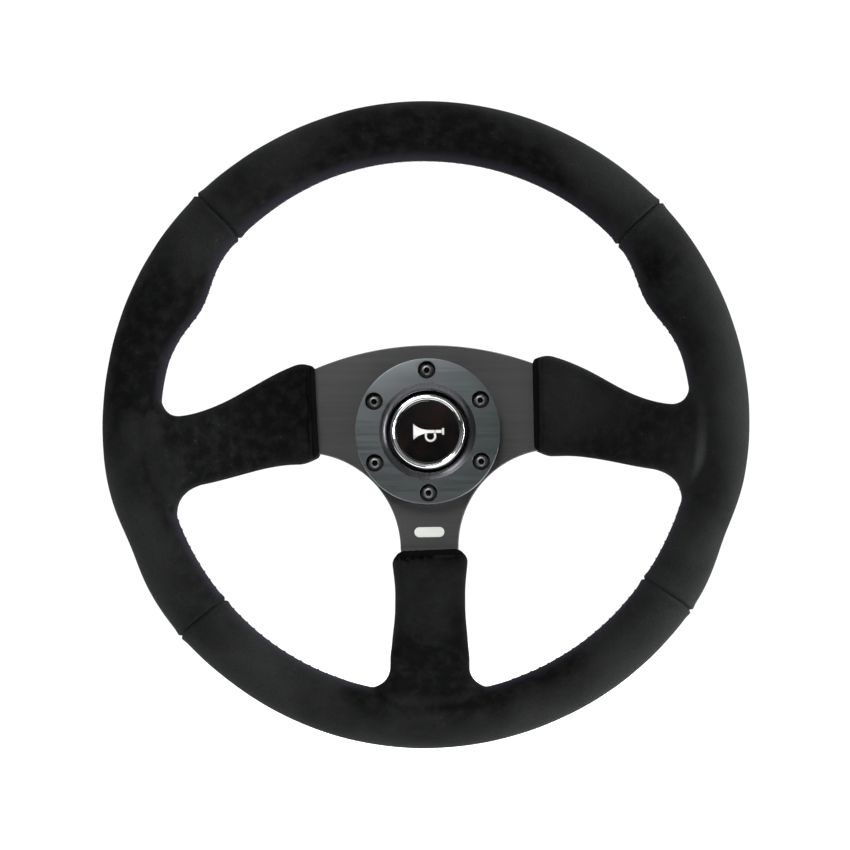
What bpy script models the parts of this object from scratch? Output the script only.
"""Quick release steering wheel: a dished three-spoke 350 mm rim wrapped in suede, with a horn
button, bolted to the wheel half of a ball-lock quick release coupler.

Frame: metres, +Z up. The wheel turns about the Y axis and the driver sits at -Y. The origin is the
centre of the coupler's rear face, where it seats on the steering column's half of the lock.
Dimensions below are in millimetres. A "depth" is the distance ahead of that rear face, towards
the driver, so a point's Y is minus its depth.
"""

import math

import bmesh
import bpy
from mathutils import Matrix, Vector

MM = 0.001
GAP = 0.3  # between pieces that touch

# Rim: the outside of the suede
RIM_OUTER = 175.0
RIM_INNER = 144.6
RIM_HALF_DEPTH = 15.5
RIM_ROUNDNESS = 2.2  # exponent of the superellipse section; 2 is an ellipse
GRIP_ANGLE = 28.8  # thumb grips, degrees above the horizontal
GRIP_SWELL = 6.6
GRIP_SPREAD = 8.5
FLAT_ANGLE = -21.5  # where the rim is slimmer below each side spoke
FLAT_DEPTH = 2.3
FLAT_SPREAD = 7.0
SUEDE = 1.2
PADDING_GAP = 0.4  # between the padding and the suede over it
HOOP_RADIUS = 159.5
HOOP_ROD = 5.0

# Depths of the stack on the wheel's axis
FLANGE_BACK = 30.0
FLANGE_FRONT = 38.0
PLATE_BACK = FLANGE_FRONT + GAP
PLATE_THICKNESS = 4.5
PLATE_FRONT = PLATE_BACK + PLATE_THICKNESS
PLATE_MIDDLE = PLATE_BACK + PLATE_THICKNESS / 2
RING_BACK = PLATE_FRONT + GAP
RING_FRONT = RING_BACK + 9.0
RIM_DEPTH = 86.8  # the rim's middle plane

# Spokes
COVER_STARTS = {"left": 63.4, "right": 61.4, "lower": 67.3}  # distance from the axis where the suede begins
BEND_START = 64.0  # where a spoke leaves the flat of the plate
BEND_END = 158.0
HEM = 3.5
HEM_INSET = 1.2
COVER_HALF_DEPTH = 7.0
COVER_ROUNDNESS = 3.4
SLOT_ROUNDNESS = 20.0  # nearly a rectangle
PAD_INSET = 5.0  # plate edge to cover edge, upper edges
LOWER_PAD_INSET = 4.0
CREST_TOP = 50.3
CREST_EDGE = 64.0  # where the crown meets the straight upper edges
CORNER_RADIUS = 56.0
LOWER_SPOKE_HALF = 16.7
LOWER_SPOKE_TIP_HALF = 15.0
SPOKE_TIP = 157.0

# Hub hardware
BOLT_COUNT = 6
BOLT_CIRCLE = 35.0
BOLT_HOLE = 2.75
BOLT_SHANK = 2.4
BOLT_HEAD = 4.5
BOLT_HEAD_DOME = 3.3
COUNTERBORE = 5.0
COUNTERBORE_DEPTH = 5.5
RING_OUTER = 41.5
HORN_BORE = 23.2
FUNNEL_MOUTH = 27.2
FUNNEL_DEPTH = 4.5
PLATE_BORE = 24.0

# Coupler
FLANGE_RADIUS = 40.0
BARREL = 20.9
SOCKET = 16.2
SPLINE_MINOR = 15.0
SPLINE_TEETH = 12
SPLINE_START = 13.0
SOCKET_FLOOR = 24.0
HORN_RECESS_FLOOR = 31.0
WIRE_HOLE = 6.0
BALL_RADIUS = 3.175
BALL_HOLE = 3.4
BALL_DEPTH = 9.0
BALL_COUNT = 6
BALL_SEAT = 17.975  # ball centre's distance from the axis when locked
RAMP_SLOPE = 0.225  # ball travel for each millimetre of collar travel
COLLAR_BACK = 2.3
COLLAR_FRONT = 23.3
COLLAR_BORE = 21.1
COLLAR_OUTER = 28.0
COLLAR_LIP = 32.0
SPRING_POCKET = 26.2
SPRING_POCKET_FLOOR = 13.5

# Angles of the four seams of the rim's suede, anticlockwise from +X as the driver sees them
SEAMS = {"upper_right": 42.6, "upper_left": 134.1, "lower_left": 220.0, "lower_right": 324.1}

COVER_STATIONS = (76, 86, 96, 106, 114, 121, 127, 132, 136, 138.6, 140.6, 150)  # sections of a cover
RIM_STEPS = 44
RIM_SECTION = 12
ROUND_STEPS = 24


def at(x, depth, z):
    return Vector((x * MM, -depth * MM, z * MM))


def ease(t):
    t = min(max(t, 0.0), 1.0)
    return t * t * (3.0 - 2.0 * t)


def between(a, b, t):
    return a + (b - a) * t


def bump(angle, centre, spread):
    """A bell of height 1, repeated on the other side of the vertical."""
    folded = math.degrees(math.asin(math.sin(math.radians(angle))))
    return math.exp(-(((folded - centre) / spread) ** 2))


def rim_radii(angle):
    """Outer and inner radius of the rim at an angle anticlockwise from +X."""
    outer = RIM_OUTER - FLAT_DEPTH * bump(angle, FLAT_ANGLE, FLAT_SPREAD)
    inner = RIM_INNER - GRIP_SWELL * bump(angle, GRIP_ANGLE, GRIP_SPREAD)
    return outer, inner


def spoke_lift(distance):
    """How far a spoke has risen towards the driver at a distance from the axis."""
    rise = RIM_DEPTH - PLATE_MIDDLE
    return rise * ease((distance - BEND_START) / (BEND_END - BEND_START))


def flare(distance, start, radius):
    """Quarter-round widening of a cover where it runs into the rim."""
    run = min(max(distance - start, 0.0), radius)
    return radius - math.sqrt(radius * radius - run * run)


def side_top(x):
    return 43.4 - 34.0 * ease((x - 56.0) / 84.0) ** 1.15


def side_bottom(x):
    return -14.4 - 11.6 * ease((x - 78.0) / 62.0)


def lower_half(distance):
    pinch = 2.1 * ease((distance - 68.0) / 26.0)
    return 21.8 - pinch + 1.8 * ease((distance - 100.0) / 30.0)


# ---------------------------------------------------------------- scene and materials


def clear_scene():
    for thing in list(bpy.data.objects):
        bpy.data.objects.remove(thing, do_unlink=True)


def material(name, colour, roughness, metallic=0.0):
    made = bpy.data.materials.new(name)
    made.use_nodes = True
    made.diffuse_color = (*colour, 1.0)
    shader = made.node_tree.nodes["Principled BSDF"]
    shader.inputs["Base Color"].default_value = (*colour, 1.0)
    shader.inputs["Roughness"].default_value = roughness
    shader.inputs["Metallic"].default_value = metallic
    return made


def empty(name, parent=None):
    made = bpy.data.objects.new(name, None)
    bpy.context.scene.collection.objects.link(made)
    made.parent = parent
    return made


def mesh_object(name, mesh, skin, parent=None):
    made = bpy.data.objects.new(name, mesh)
    bpy.context.scene.collection.objects.link(made)
    if skin:
        mesh.materials.append(skin)
    mesh.shade_smooth()
    mesh.set_sharp_from_angle(angle=math.radians(35))
    made.parent = parent
    return made


def helper(made):
    made.hide_render = True
    made.display_type = "WIRE"
    return made


def boolean(target, other, operation):
    step = target.modifiers.new(f"{operation.lower()}_{other.name}"[:60], "BOOLEAN")
    step.operation = operation
    step.solver = "EXACT"
    step.object = other
    return step


def baked(name, source):
    """The mesh that a helper's modifiers make, as a helper of its own."""
    graph = bpy.context.evaluated_depsgraph_get()
    graph.update()
    mesh = bpy.data.meshes.new_from_object(source.evaluated_get(graph))
    return helper(mesh_object(name, mesh, None))


# ---------------------------------------------------------------- shape builders


def finished(name, bm, skin, parent=None):
    bmesh.ops.recalc_face_normals(bm, faces=bm.faces)
    mesh = bpy.data.meshes.new(name)
    bm.to_mesh(mesh)
    bm.free()
    return mesh_object(name, mesh, skin, parent)


def turned(name, profile, skin=None, parent=None, steps=ROUND_STEPS, ring=True):
    """A profile of (radius, depth) points spun about the wheel's axis. A ring's profile is a closed
    loop clear of the axis; any other runs from the axis back to the axis."""
    bm = bmesh.new()
    points = [bm.verts.new(at(radius, depth, 0)) for radius, depth in profile]
    pairs = list(zip(points, points[1:]))
    if ring:
        pairs.append((points[-1], points[0]))
    edges = [bm.edges.new(pair) for pair in pairs]
    bmesh.ops.spin(
        bm, geom=points + edges, cent=(0, 0, 0), axis=(0, 1, 0),
        angle=math.tau, steps=steps, use_merge=True,
    )
    bmesh.ops.remove_doubles(bm, verts=bm.verts, dist=1e-7)
    return finished(name, bm, skin, parent)


def loft(name, rings, skin=None, parent=None, loop=False):
    """Rings of points joined in order; capped, or closed on itself when it is a loop."""
    bm = bmesh.new()
    made = [[bm.verts.new(point) for point in ring] for ring in rings]
    count = len(made[0])
    following = made[1:] + made[:1] if loop else made[1:]
    for first, second in zip(made, following):
        for i in range(count):
            j = (i + 1) % count
            bm.faces.new((first[i], first[j], second[j], second[i]))
    if not loop:
        bm.faces.new(made[0])
        bm.faces.new(made[-1])
    return finished(name, bm, skin, parent)


def extruded(name, outline, back, front, skin=None, parent=None):
    """An outline of (x, z) points given a thickness from one depth to another."""
    rings = [[at(x, depth, z) for x, z in outline] for depth in (back, front)]
    return loft(name, rings, skin, parent)


def circle(radius, steps, x=0.0, z=0.0):
    angles = [math.tau * i / steps for i in range(steps)]
    return [(x + radius * math.cos(a), z + radius * math.sin(a)) for a in angles]


def around(count, radius, start=90.0):
    """Evenly spaced (angle, x, z) about the wheel's axis, angles in radians."""
    angles = [math.radians(start) + math.tau * i / count for i in range(count)]
    return [(a, radius * math.cos(a), radius * math.sin(a)) for a in angles]


def superellipse(half_width, half_depth, exponent, steps):
    """Points (across, deep) of a rounded section."""
    points = []
    for i in range(steps):
        angle = math.tau * i / steps
        c, s = math.cos(angle), math.sin(angle)
        across = half_width * math.copysign(abs(c) ** (2 / exponent), c)
        deep = half_depth * math.copysign(abs(s) ** (2 / exponent), s)
        points.append((across, deep))
    return points


def coil(name, mean_radius, wire, back, front, turns, skin, parent):
    """A compression spring about the wheel's axis, its wire's ends just inside both depths."""
    rings = []
    steps = round(turns * 12)
    for i in range(steps + 1):
        angle = math.tau * turns * i / steps
        depth = between(back + wire, front - wire, i / steps)
        out = Vector((math.cos(angle), 0, math.sin(angle)))
        centre = at(mean_radius * out.x, depth, mean_radius * out.z)
        ring = []
        for k in range(6):
            turn = math.tau * k / 6
            side = out * math.cos(turn) + Vector((0, 1, 0)) * math.sin(turn)
            ring.append(centre + side * wire * MM)
        rings.append(ring)
    return loft(name, rings, skin, parent)


# ---------------------------------------------------------------- rim, spokes and suede


def rim_solid(name, shrink):
    rings = []
    for i in range(RIM_STEPS):
        angle = 360.0 * i / RIM_STEPS
        outer, inner = rim_radii(angle)
        middle, half = (outer + inner) / 2, (outer - inner) / 2 - shrink
        c, s = math.cos(math.radians(angle)), math.sin(math.radians(angle))
        section = superellipse(half, RIM_HALF_DEPTH - shrink, RIM_ROUNDNESS, RIM_SECTION)
        rings.append(
            [at((middle + a) * c, RIM_DEPTH + d, (middle + a) * s) for a, d in section]
        )
    return loft(name, rings, loop=True)


def side_section(x, shrink, inset):
    top = side_top(x) + flare(x, 128.0, 13.0)
    bottom = side_bottom(x) - flare(x, 114.0, 22.0)
    half_depth = COVER_HALF_DEPTH + 5.5 * ease((x - 104.0) / 44.0)
    half = (top - bottom) / 2 - shrink - inset
    return (top + bottom) / 2, half, half_depth - shrink - inset


def lower_section(distance, shrink, inset):
    half_depth = COVER_HALF_DEPTH + 5.5 * ease((distance - 104.0) / 44.0)
    half = lower_half(distance) + flare(distance, 127.0, 14.0)
    return 0.0, half - shrink - inset, half_depth - shrink - inset


def cover_solid(name, label, shrink, start_in, neck=None):
    """One spoke's padded cover, on the left, the right or the lower spoke. A hem narrows its end, and a
    neck is a slot-sized stub that opens that end for the plate."""
    side = {"left": -1, "right": 1, "lower": 0}[label]
    section = side_section if side else lower_section
    end = COVER_STARTS[label]
    start = end + start_in
    stations = [(start, HEM_INSET * ease((end + HEM - start) / HEM))]
    stations += [(end + HEM, 0.0)] if start < end + HEM - 0.5 else []
    stations += [(distance, 0.0) for distance in COVER_STATIONS]
    rings = []
    for distance, inset in stations:
        centre, half, half_depth = section(distance, shrink, inset)
        rings.append((distance, centre, half, half_depth, COVER_ROUNDNESS))
    if neck:
        _, centre, half, _, _ = rings[0]
        stub = (centre, half - neck, PLATE_THICKNESS / 2 + 3 * GAP, SLOT_ROUNDNESS)
        rings = [(start - 8.0, *stub), (start - 0.4, *stub)] + rings
    lofted = []
    for distance, centre, half, half_depth, roundness in rings:
        depth = PLATE_MIDDLE + spoke_lift(distance)
        points = superellipse(half, half_depth, roundness, RIM_SECTION)
        if side:
            lofted.append([at(side * distance, depth + d, centre + a) for a, d in points])
        else:
            lofted.append([at(centre + a, depth + d, -distance) for a, d in points])
    return loft(name, lofted)


def bodies_joined(name, shrink, start_in, neck=None):
    """Rim and the three covers as one solid."""
    base = helper(rim_solid(f"{name}_rim", shrink))
    for label in COVER_STARTS:
        cover = helper(cover_solid(f"{name}_{label}", label, shrink, start_in, neck))
        boolean(base, cover, "UNION")
    return baked(name, base)


def plate_outline(grow):
    """Half of the spoke plate's outline, from the crown down the right side, mirrored to the left."""
    edge = CREST_EDGE
    drop = CREST_TOP - (side_top(edge) - PAD_INSET)
    crest = (edge**2 + drop**2) / (2 * drop)
    half = []
    for i in range(8):
        angle = math.asin(edge / crest) * (i + 0.5) / 8
        reach = crest + grow
        half.append((reach * math.sin(angle), CREST_TOP - crest + reach * math.cos(angle)))
    stations = [between(edge + 8, SPOKE_TIP, i / 7) for i in range(8)]
    half += [(x + grow * (x == SPOKE_TIP), side_top(x) - PAD_INSET + grow) for x in stations]
    corner = LOWER_SPOKE_HALF + CORNER_RADIUS
    level = side_bottom(corner) + LOWER_PAD_INSET
    under = [x for x in reversed(stations) if x > corner + 4]
    half += [(x + grow * (x == SPOKE_TIP), side_bottom(x) + LOWER_PAD_INSET - grow) for x in under]
    for i in range(13):
        angle = math.radians(90 + 90 * i / 12)
        radius = CORNER_RADIUS - grow
        half.append((corner + radius * math.cos(angle), level - CORNER_RADIUS + radius * math.sin(angle)))
    half.append((LOWER_SPOKE_TIP_HALF + grow, -84.0))
    half.append((LOWER_SPOKE_TIP_HALF + grow, -SPOKE_TIP - grow))
    return half + [(-x, z) for x, z in reversed(half)]


def plate_solid(name, grow, skin=None, parent=None):
    """The plate, cut flat and then bent forward along its spokes to meet the hoop."""
    bm = bmesh.new()
    outline = [at(x, PLATE_BACK - grow, z) for x, z in plate_outline(grow)]
    face = bm.faces.new([bm.verts.new(point) for point in outline])
    raised = bmesh.ops.extrude_face_region(bm, geom=[face])["geom"]
    thickness = (PLATE_THICKNESS + 2 * grow) * MM
    lifted = [thing for thing in raised if isinstance(thing, bmesh.types.BMVert)]
    bmesh.ops.translate(bm, verts=lifted, vec=(0, -thickness, 0))
    for i in range(8):
        distance = between(BEND_START + 6, BEND_END - 6, i / 7) * MM
        for spot in (Vector((distance, 0, 0)), Vector((-distance, 0, 0)), Vector((0, 0, -distance))):
            geometry = bm.verts[:] + bm.edges[:] + bm.faces[:]
            bmesh.ops.bisect_plane(bm, geom=geometry, dist=1e-6, plane_co=spot, plane_no=spot.normalized())
    bmesh.ops.triangulate(bm, faces=bm.faces)
    for vertex in bm.verts:
        distance = max(abs(vertex.co.x), -vertex.co.z) / MM
        vertex.co.y -= spoke_lift(distance) * MM
    return finished(name, bm, skin, parent)


def hoop_solid(name, rod, skin=None, parent=None):
    rings = []
    for i in range(RIM_STEPS):
        angle = math.tau * i / RIM_STEPS
        c, s = math.cos(angle), math.sin(angle)
        rings.append(
            [at((HOOP_RADIUS + a) * c, RIM_DEPTH + d, (HOOP_RADIUS + a) * s) for a, d in circle(rod, 6)]
        )
    return loft(name, rings, skin, parent, loop=True)


def wedge(name, start, end):
    """A sector from the axis outwards that keeps one panel of the suede."""
    reach = 260.0
    trim = math.degrees(GAP / 2 / RIM_OUTER)
    start, end = start + trim, end - trim
    steps = 4
    angles = [math.radians(between(start, end, i / steps)) for i in range(steps + 1)]
    outline = [(0.0, 0.0)] + [(reach * math.cos(a), reach * math.sin(a)) for a in angles]
    return helper(extruded(name, outline, -40.0, 160.0))


def build_rim(root, skins):
    plate = plate_solid("spoke_plate", 0.0, skins["plate"], root)
    hoop_space = helper(hoop_solid("hoop_space", HOOP_ROD + GAP))
    boolean(plate, hoop_space, "DIFFERENCE")
    boolean(plate, helper(extruded("plate_bore", circle(PLATE_BORE, 32), 30, 60)), "DIFFERENCE")
    for i, (_, x, z) in enumerate(around(BOLT_COUNT, BOLT_CIRCLE), 1):
        hole = helper(extruded(f"bolt_space_{i}", circle(BOLT_HOLE, 12, x, z), 20, 80))
        boolean(plate, hole, "DIFFERENCE")
    hoop_solid("rim_hoop", HOOP_ROD, skins["hoop"], root)

    padding = bodies_joined("padding", SUEDE + PADDING_GAP, 2.2)
    foam = mesh_object("rim_foam", padding.data.copy(), skins["foam"], root)
    boolean(foam, hoop_space, "DIFFERENCE")
    boolean(foam, helper(plate_solid("plate_space", GAP)), "DIFFERENCE")

    hide = bodies_joined("hide", 0.0, 0.0)
    boolean(hide, bodies_joined("hide_inside", SUEDE, 1.8, neck=0.2), "DIFFERENCE")
    shell = baked("shell", hide)
    panels = {
        "suede_top": ("upper_right", "upper_left", 0),
        "suede_left": ("upper_left", "lower_left", 0),
        "suede_bottom": ("lower_left", "lower_right", 0),
        "suede_right": ("lower_right", "upper_right", 360),
    }
    for name, (first, last, wrap) in panels.items():
        panel = mesh_object(name, shell.data.copy(), skins["suede"], root)
        boolean(panel, wedge(f"{name}_wedge", SEAMS[first], SEAMS[last] + wrap), "INTERSECT")


# ---------------------------------------------------------------- horn ring, bolts and horn button


def build_hub(root, skins):
    bevel = 1.0
    ring = turned(
        "horn_ring",
        [
            (RING_OUTER - bevel, RING_FRONT), (RING_OUTER, RING_FRONT - bevel), (RING_OUTER, RING_BACK),
            (HORN_BORE, RING_BACK), (HORN_BORE, RING_FRONT - FUNNEL_DEPTH),
            (HORN_BORE + 0.8, RING_FRONT - 2.6), (HORN_BORE + 2.0, RING_FRONT - 1.0),
            (FUNNEL_MOUTH, RING_FRONT),
        ],
        skins["ring"], root, steps=36,
    )
    for i, (_, x, z) in enumerate(around(BOLT_COUNT, BOLT_CIRCLE), 1):
        floor = RING_FRONT - COUNTERBORE_DEPTH
        pocket = extruded(f"counterbore_{i}", circle(COUNTERBORE, 16, x, z), floor, RING_FRONT + 10)
        boolean(ring, helper(pocket), "DIFFERENCE")
        boolean(ring, bpy.data.objects[f"bolt_space_{i}"], "DIFFERENCE")
        hub_bolt(f"hub_bolt_{i}", x, z, floor + GAP, root, skins["bolt"])


def hub_bolt(name, x, z, seat, parent, skin):
    """An M5 button-head screw with a hexagon socket."""
    crown = seat + BOLT_HEAD_DOME
    tip = FLANGE_BACK + 1.0
    profile = [
        (0, tip), (BOLT_SHANK - 0.5, tip), (BOLT_SHANK, tip + 0.6), (BOLT_SHANK, seat), (BOLT_HEAD, seat),
        (BOLT_HEAD, seat + 0.9), (BOLT_HEAD - 0.9, crown - 0.8), (BOLT_HEAD - 1.9, crown), (0, crown),
    ]
    screw = turned(name, profile, skin, parent, steps=10, ring=False)
    screw.location = at(x, 0, z)
    socket = helper(extruded(f"{name}_socket", circle(1.75, 6, x, z), crown - 1.8, crown + 2))
    boolean(screw, socket, "DIFFERENCE")


def build_horn(root, skins):
    """The fixed cup with its contact and terminals, and the sprung button with its bezel and face."""
    button = empty("horn_button_slide", root)
    cup_back, cup_floor, cup_front = 36.5, 38.5, 44.8
    cup = HORN_BORE - GAP
    turned(
        "horn_base",
        [
            (0, cup_back), (cup, cup_back), (cup, cup_front), (cup - 1.5, cup_front),
            (cup - 1.5, cup_floor), (0, cup_floor),
        ],
        skins["black_plastic"], root, ring=False,
    )
    turned(
        "horn_fixed_contact",
        [(14.0, cup_floor + GAP), (19.0, cup_floor + GAP), (19.0, cup_floor + 0.9), (14.0, cup_floor + 0.9)],
        skins["brass"], root,
    )
    cap_back, cap_front, cap = 42.9, 47.2, cup - 2.0
    turned(
        "horn_cap",
        [
            (0, cap_back + 1.2), (13.0, cap_back + 1.2), (13.0, cap_back), (cap, cap_back),
            (cap, cap_front), (0, cap_front),
        ],
        skins["black_plastic"], button, ring=False,
    )
    turned(
        "horn_moving_contact",
        [(14.5, cap_back - 0.9), (18.5, cap_back - 0.9), (18.5, cap_back - GAP), (14.5, cap_back - GAP)],
        skins["brass"], button,
    )
    coil("horn_spring", 9.0, 0.5, cup_floor + GAP, cap_back + 1.2 - GAP, 3.5, skins["spring"], root)
    base = cap_front + GAP
    turned(
        "horn_bezel",
        [
            (22.0, base), (22.0, base + 1.2), (21.2, base + 2.3), (20.0, base + 2.6),
            (18.9, base + 2.1), (18.3, base + 1.2), (18.3, base),
        ],
        skins["chrome"], button, steps=36,
    )
    turned(
        "horn_face",
        [(0, base), (17.9, base), (17.9, base + 1.0), (16.9, base + 1.5), (9.0, base + 1.9), (0, base + 2.0)],
        skins["gloss_black"], button, ring=False,
    )
    for i, side in enumerate((-1, 1), 1):
        left, right = side * 8.0 - 0.4, side * 8.0 + 0.4
        outline = [(left, -3.1), (right, -3.1), (right, 3.1), (left, 3.1)]
        extruded(f"horn_terminal_{i}", outline, cup_back - GAP - 3.6, cup_back - GAP, skins["brass"], root)
        horn_wire(f"horn_wire_{i}", side, root, skins["wire"])


def horn_wire(name, side, parent, skin):
    """A short insulated lead from the contact block's end to one terminal of the horn base."""
    wire = bpy.data.curves.new(name, "CURVE")
    wire.dimensions = "3D"
    wire.bevel_depth = 0.7 * MM
    wire.bevel_resolution = 2
    wire.use_fill_caps = True
    steps = 8
    run = wire.splines.new("POLY")
    run.points.add(steps)
    for i in range(steps + 1):
        t = i / steps
        x = side * between(2.0, 6.6, ease(t))
        depth = between(33.1, 34.3, t)
        z = 1.6 * math.sin(math.pi * t)
        run.points[i].co = (*at(x, depth, z), 1.0)
    made = bpy.data.objects.new(name, wire)
    bpy.context.scene.collection.objects.link(made)
    wire.materials.append(skin)
    made.parent = parent


# ---------------------------------------------------------------- quick release coupler


def spline_outline():
    """Internal spline of the socket: teeth between the minor and the major radius."""
    points = []
    pitch = math.tau / SPLINE_TEETH
    for i in range(SPLINE_TEETH):
        for share, radius in ((0.05, SPLINE_MINOR), (0.40, SPLINE_MINOR), (0.55, SOCKET), (0.90, SOCKET)):
            angle = pitch * (i + share)
            points.append((radius * math.cos(angle), radius * math.sin(angle)))
    return points


def ball_hole(name, angle):
    """A radial cutter through the barrel's wall."""
    out = Vector((math.cos(angle), 0, math.sin(angle)))
    across = Vector((-math.sin(angle), 0, math.cos(angle)))
    rings = []
    for reach in (SPLINE_MINOR - 5, BARREL + 5):
        centre = at(reach * out.x, BALL_DEPTH, reach * out.z)
        rings.append([centre + (across * a + Vector((0, 1, 0)) * d) * MM for a, d in circle(BALL_HOLE, 16)])
    return helper(loft(name, rings))


def build_coupler(root, skins):
    groove = BARREL - 0.9
    hub = turned(
        "coupler_hub",
        [
            (SOCKET + 0.6, 0), (BARREL - 0.5, 0), (BARREL - 0.5, 0.5), (groove, 0.5), (groove, 2.0),
            (BARREL, 2.0), (BARREL, FLANGE_BACK - 1.5), (BARREL + 1.5, FLANGE_BACK),
            (FLANGE_RADIUS - 1, FLANGE_BACK), (FLANGE_RADIUS, FLANGE_BACK + 1),
            (FLANGE_RADIUS, FLANGE_FRONT), (PLATE_BORE, FLANGE_FRONT), (PLATE_BORE, HORN_RECESS_FLOOR),
            (WIRE_HOLE, HORN_RECESS_FLOOR), (WIRE_HOLE, SOCKET_FLOOR), (SPLINE_MINOR - 1, SOCKET_FLOOR),
            (SPLINE_MINOR - 1, SPLINE_START), (SOCKET, SPLINE_START), (SOCKET, 0.6),
        ],
        skins["coupler"], root, steps=36,
    )
    spline = extruded("spline_space", spline_outline(), SPLINE_START - 4, SOCKET_FLOOR - 0.5)
    boolean(hub, helper(spline), "DIFFERENCE")
    for i in range(1, BOLT_COUNT + 1):
        boolean(hub, bpy.data.objects[f"bolt_space_{i}"], "DIFFERENCE")
    slope = math.atan(RAMP_SLOPE)
    for i, (angle, x, z) in enumerate(around(BALL_COUNT, BALL_SEAT, start=60.0), 1):
        boolean(hub, ball_hole(f"ball_space_{i}", angle), "DIFFERENCE")
        lock_ball(f"lock_ball_{i}", x, z, root, skins["steel"])

    slide = empty("collar_slide", root)
    ramp_front = BALL_SEAT + (BALL_RADIUS + 0.1) / math.cos(slope)
    ramp_end = BALL_DEPTH + (ramp_front - COLLAR_BORE) / RAMP_SLOPE
    ramp_back = ramp_front + (BALL_DEPTH - COLLAR_BACK - 0.6) * RAMP_SLOPE
    collar = turned(
        "release_collar",
        [
            (ramp_back, COLLAR_BACK), (COLLAR_OUTER - 1, COLLAR_BACK), (COLLAR_OUTER, COLLAR_BACK + 1),
            (COLLAR_OUTER, 15.8), (COLLAR_LIP - 0.8, 17.8), (COLLAR_LIP, 18.8), (COLLAR_LIP, COLLAR_FRONT - 1),
            (COLLAR_LIP - 1, COLLAR_FRONT), (SPRING_POCKET, COLLAR_FRONT), (SPRING_POCKET, SPRING_POCKET_FLOOR),
            (COLLAR_BORE, SPRING_POCKET_FLOOR), (COLLAR_BORE, ramp_end), (ramp_back, COLLAR_BACK + 0.6),
        ],
        skins["collar"], slide, steps=36,
    )
    for i, (angle, x, z) in enumerate(around(12, COLLAR_LIP + 1.6), 1):
        scallop = extruded(f"finger_scallop_{i}", circle(2.6, 10, x, z), 12, 40)
        boolean(collar, helper(scallop), "DIFFERENCE")
    coil("collar_spring", 23.7, 0.9, SPRING_POCKET_FLOOR + GAP, FLANGE_BACK - GAP, 4.0, skins["spring"], root)
    turned(
        "snap_ring",
        [(groove + GAP, 0.8), (24.4, 0.8), (24.4, 1.8), (groove + GAP, 1.8)],
        skins["steel"], root, steps=32,
    )
    build_contacts(root, skins)


def lock_ball(name, x, z, parent, skin):
    bm = bmesh.new()
    bmesh.ops.create_uvsphere(bm, u_segments=10, v_segments=6, radius=BALL_RADIUS * MM)
    ball = finished(name, bm, skin, parent)
    ball.location = at(x, BALL_DEPTH, z)


def build_contacts(root, skins):
    """The insulated block on the socket's floor, whose two rings pass the horn's circuit to the column."""
    face, back = SOCKET_FLOOR - GAP - 2.0, SOCKET_FLOOR - GAP
    turned(
        "contact_block",
        [(0, face), (13.0, face), (13.0, back), (WIRE_HOLE - 0.4, back), (WIRE_HOLE - 0.4, 32.0), (0, 32.0)],
        skins["white_plastic"], root, ring=False, steps=24,
    )
    for name, inner, outer in (("contact_ring_inner", 5.5, 7.5), ("contact_ring_outer", 9.8, 11.8)):
        near, far = face - GAP - 0.8, face - GAP
        turned(name, [(inner, near), (outer, near), (outer, far), (inner, far)], skins["brass"], root, steps=24)


def main():
    clear_scene()
    skins = {
        "suede": material("suede", (0.012, 0.013, 0.013), 0.95),
        "foam": material("foam", (0.05, 0.05, 0.05), 0.9),
        "hoop": material("hoop_aluminium", (0.55, 0.55, 0.56), 0.4, 1.0),
        "plate": material("plate_black_anodised", (0.07, 0.07, 0.07), 0.55, 0.6),
        "ring": material("ring_gunmetal", (0.10, 0.12, 0.125), 0.4, 0.8),
        "bolt": material("black_oxide_steel", (0.05, 0.05, 0.05), 0.4, 0.9),
        "black_plastic": material("black_plastic", (0.02, 0.02, 0.02), 0.5),
        "gloss_black": material("gloss_black", (0.005, 0.005, 0.005), 0.08),
        "chrome": material("chrome", (0.8, 0.8, 0.8), 0.07, 1.0),
        "brass": material("brass", (0.7, 0.5, 0.2), 0.35, 1.0),
        "spring": material("spring_steel", (0.5, 0.5, 0.5), 0.35, 1.0),
        "steel": material("bearing_steel", (0.7, 0.7, 0.7), 0.15, 1.0),
        "coupler": material("coupler_black_anodised", (0.04, 0.04, 0.045), 0.4, 0.8),
        "collar": material("collar_satin_aluminium", (0.5, 0.5, 0.52), 0.35, 1.0),
        "white_plastic": material("nylon", (0.75, 0.74, 0.7), 0.6),
        "wire": material("wire_insulation", (0.35, 0.03, 0.02), 0.5),
    }
    root = empty("steering_wheel")
    build_rim(root, skins)
    build_hub(root, skins)
    build_horn(root, skins)
    build_coupler(root, skins)


main()
